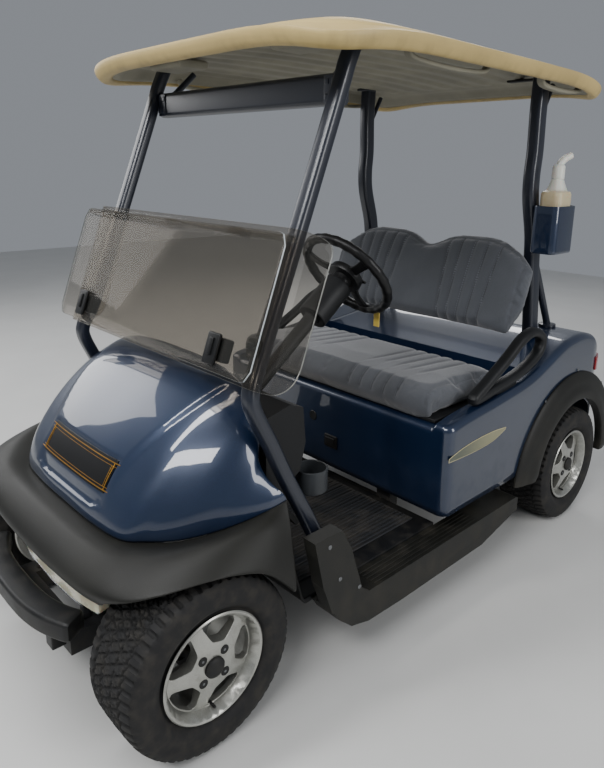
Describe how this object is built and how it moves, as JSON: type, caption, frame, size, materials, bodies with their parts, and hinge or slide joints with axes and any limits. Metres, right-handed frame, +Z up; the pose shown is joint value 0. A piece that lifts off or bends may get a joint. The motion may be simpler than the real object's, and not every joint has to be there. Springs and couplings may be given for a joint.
{
  "type": "electric two-seat golf cart",
  "caption": "Two-seat electric golf cart with hood, canopy, fold-down windshield, hinged seat cushion, steering linkage and free-rolling wheels.",
  "frame": {"origin": "on the ground, at the middle of the cart's bounding box", "axes": "-Y is forward, +X is the cart's left (driver's side), +Z is up"},
  "size_m": [1.188, 2.3493, 1.7458],
  "materials": {
    "frame_black": "semi-gloss black paint",
    "running_gear": "satin black paint, slightly dusty",
    "bare_steel": "bare steel, satin",
    "battery_case": "matt black plastic",
    "body_blue": "glossy metallic dark blue over moulded plastic",
    "trim_grey": "textured dark grey plastic",
    "bumper_black": "satin black plastic",
    "lens_clear": "clear lens over pale reflector",
    "floor_black": "ribbed black rubber mat",
    "dash_black": "grained black plastic",
    "wheel_black": "soft-touch black",
    "tail_red": "red lens",
    "seat_vinyl": "grey-blue vinyl, softly woven grain",
    "seat_board": "black moulded board",
    "strut_navy": "semi-gloss blue-black paint",
    "canopy_beige": "beige moulded plastic",
    "clear_pane": "clear polycarbonate",
    "holder_blue": "glossy dark blue plastic",
    "bottle_white": "milky plastic",
    "cup_grey": "grey plastic",
    "tyre_rubber": "black tyre rubber",
    "rim_silver": "silver painted alloy"
  },
  "bodies": {
    "chassis": {"chassis_frame": "frame_black", "front_suspension": "running_gear", "rear_axle": "running_gear", "battery_pack": "battery_case", "floor_pan": "trim_grey", "floor_mat": "floor_black", "sills": "trim_grey", "front_cowl": "body_blue", "front_skirt": "trim_grey", "front_bumper": "bumper_black", "headlight_bar": "lens_clear", "dashboard": "dash_black", "steering_column": "dash_black", "pedals": "running_gear", "rear_body": "body_blue", "fender_flares": "trim_grey", "rear_bumper": "bumper_black", "tail_lights": "tail_red", "seat_back": "seat_vinyl", "armrests": "dash_black", "front_pillars": "strut_navy", "header_beam": "strut_navy", "rear_struts": "strut_navy", "canopy": "canopy_beige", "windshield_lower": "clear_pane", "windshield_upper": "clear_pane", "windshield_fittings": "bumper_black", "bottle_holder": "holder_blue", "sand_bottle": "bottle_white", "cup_holder": "cup_grey", "bag_well": "dash_black"},
    "rack": {"steering_rack": "bare_steel"},
    "knuckle_left": {"knuckle_left": "running_gear"},
    "knuckle_right": {"knuckle_right": "running_gear"},
    "steering_wheel": {"steering_wheel": "wheel_black"},
    "seat_bottom": {"seat_cushion": "seat_vinyl", "seat_base": "seat_board"},
    "wheel_front_left": {"tyre_front_left": "tyre_rubber", "rim_front_left": "rim_silver"},
    "wheel_front_right": {"tyre_front_right": "tyre_rubber", "rim_front_right": "rim_silver"},
    "wheel_rear_left": {"tyre_rear_left": "tyre_rubber", "rim_rear_left": "rim_silver"},
    "wheel_rear_right": {"tyre_rear_right": "tyre_rubber", "rim_rear_right": "rim_silver"}
  },
  "joints": [
    {"name": "steer_left", "type": "hinge", "parent": "chassis", "child": "knuckle_left", "pos_m": [0.385, -0.872, 0.2295], "axis": [0, 0, 1], "range_deg": [-25, 25]},
    {"name": "steer_right", "type": "hinge", "parent": "chassis", "child": "knuckle_right", "pos_m": [-0.385, -0.872, 0.2295], "axis": [0, 0, 1], "range_deg": [-25, 25]},
    {"name": "rack_slide", "type": "slide", "parent": "chassis", "child": "rack", "axis": [-1, 0, 0], "range_m": [-0.0306, 0.0306]},
    {"name": "steering_wheel_turn", "type": "hinge", "parent": "chassis", "child": "steering_wheel", "pos_m": [0.22, -0.14, 1.04], "axis": [0, 0.788, 0.6157], "range_deg": [-301, 301]},
    {"name": "seat_hinge", "type": "hinge", "parent": "chassis", "child": "seat_bottom", "pos_m": [0, 0.42, 0.586], "axis": [-1, 0, 0], "range_deg": [0, 42]},
    {"name": "wheel_spin_front_left", "type": "hinge", "parent": "knuckle_left", "child": "wheel_front_left", "pos_m": [0.438, -0.872, 0.2295], "axis": [1, 0, 0], "continuous": true},
    {"name": "wheel_spin_front_right", "type": "hinge", "parent": "knuckle_right", "child": "wheel_front_right", "pos_m": [-0.438, -0.872, 0.2295], "axis": [1, 0, 0], "continuous": true},
    {"name": "wheel_spin_rear_left", "type": "hinge", "parent": "chassis", "child": "wheel_rear_left", "pos_m": [0.489, 0.792, 0.2295], "axis": [1, 0, 0], "continuous": true},
    {"name": "wheel_spin_rear_right", "type": "hinge", "parent": "chassis", "child": "wheel_rear_right", "pos_m": [-0.489, 0.792, 0.2295], "axis": [1, 0, 0], "continuous": true}
  ],
  "couplings": [
    {"joint": "steer_right", "follows": "steer_left", "ratio": 1},
    {"joint": "rack_slide", "follows": "steer_left", "m_per_rad": 0.07},
    {"joint": "steering_wheel_turn", "follows": "steer_left", "ratio": 12}
  ]
}
